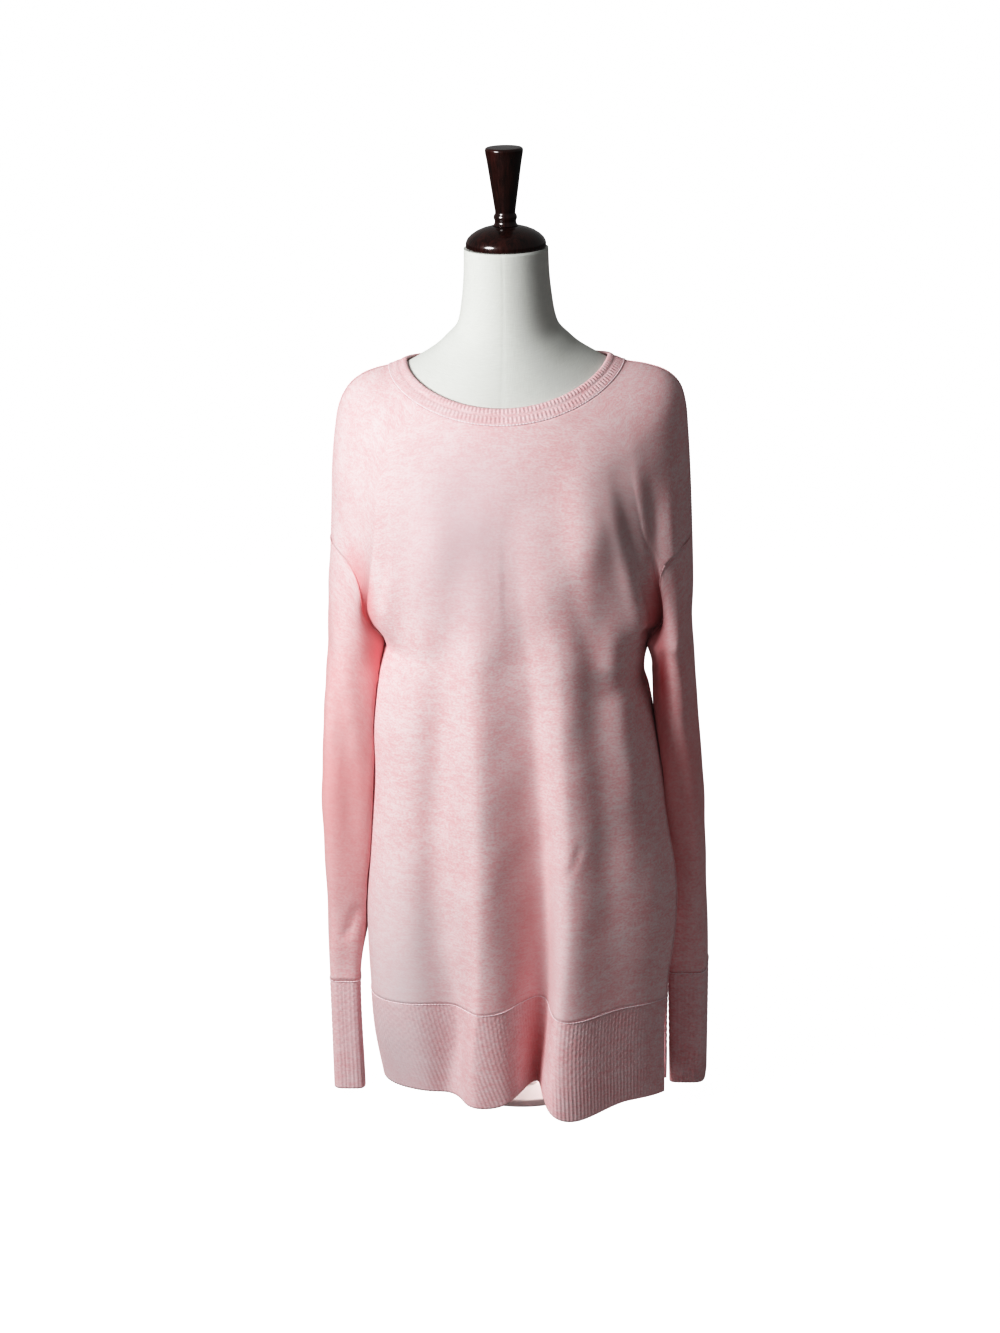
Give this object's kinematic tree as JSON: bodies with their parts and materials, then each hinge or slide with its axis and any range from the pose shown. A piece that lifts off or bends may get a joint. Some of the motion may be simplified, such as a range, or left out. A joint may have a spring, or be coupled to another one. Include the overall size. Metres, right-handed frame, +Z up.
{
  "type": "tunic sweater on a limbless dress form",
  "caption": "Long-sleeved fine-knit tunic sweater with ribbed neckband, cuffs and deep split hem band, worn by a limbless dress form.",
  "frame": {"origin": "on the foot's underside, below the middle of the form's neck", "axes": "+Z up along the form's neck, the sweater's front towards -Y, the wearer's left towards +X"},
  "size_m": [0.4083, 0.2756, 1.034],
  "materials": {
    "knit": "fine plain knit in heathered pale pink",
    "rib": "ribbed knit in the same yarn",
    "canvas": "tight off-white canvas",
    "dark_wood": "dark red-brown, glossy lacquer",
    "white_steel": "off-white, satin"
  },
  "bodies": {
    "root": {"sweater_front": "knit", "sweater_back": "knit", "sleeve_left": "knit", "sleeve_right": "knit", "neckband": "rib", "hem_band_front": "rib", "hem_band_back": "rib", "cuff_left": "rib", "cuff_right": "rib", "form_torso": "canvas", "form_cap": "dark_wood", "form_finial": "dark_wood", "form_post": "white_steel", "form_foot": "white_steel"}
  },
  "joints": []
}
